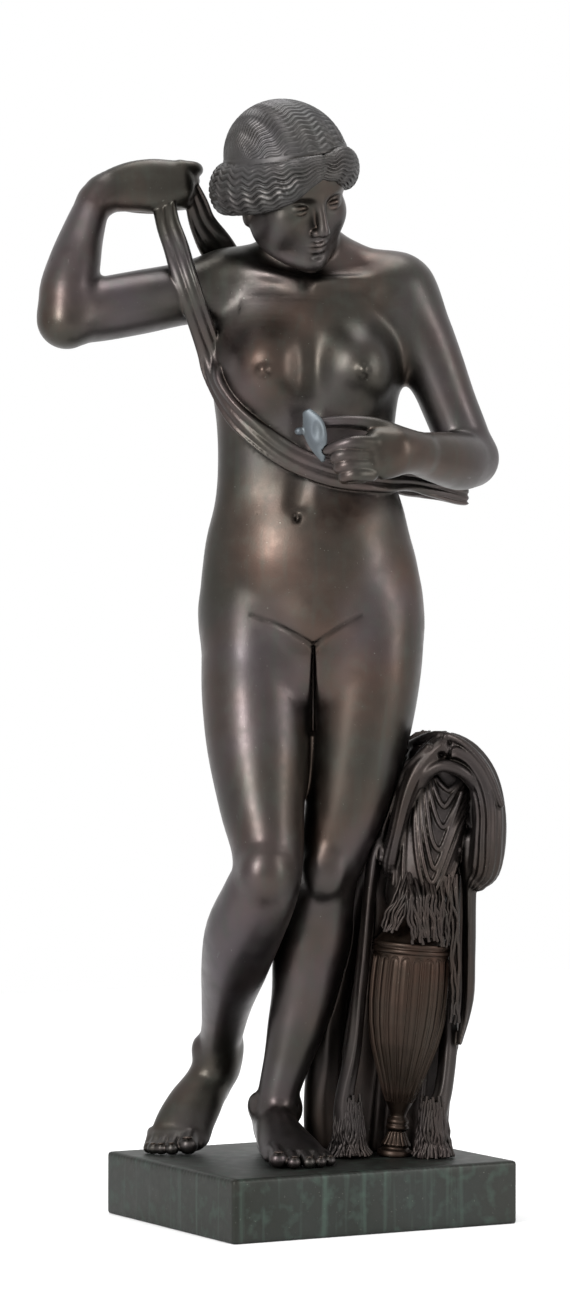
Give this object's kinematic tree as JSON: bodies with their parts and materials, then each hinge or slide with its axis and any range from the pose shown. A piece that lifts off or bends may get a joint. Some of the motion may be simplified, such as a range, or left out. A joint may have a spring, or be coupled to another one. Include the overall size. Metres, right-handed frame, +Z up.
{
  "type": "bronze statue of a bather",
  "caption": "Near life-size bronze of a standing nude bather with a sash, beside a fluted urn under a fringed towel, on a rectangular plinth.",
  "frame": {"origin": "middle of the plinth's underside", "axes": "+Z up, +X along the plinth's length, -Y towards the plinth's front face; the figure faces -29 degrees from -Y"},
  "size_m": [0.6769, 0.5049, 1.6724],
  "materials": {
    "weathered_bronze": "weathered bronze, matt",
    "patinated_bronze": "dark patinated bronze, waxed",
    "dark_bronze": "dark brown bronze, satin",
    "grey_bronze": "grey bronze, satin"
  },
  "bodies": {
    "root": {"plinth": "weathered_bronze", "figure": "patinated_bronze", "draped_urn": "dark_bronze", "clasp_plate": "grey_bronze"}
  },
  "joints": []
}
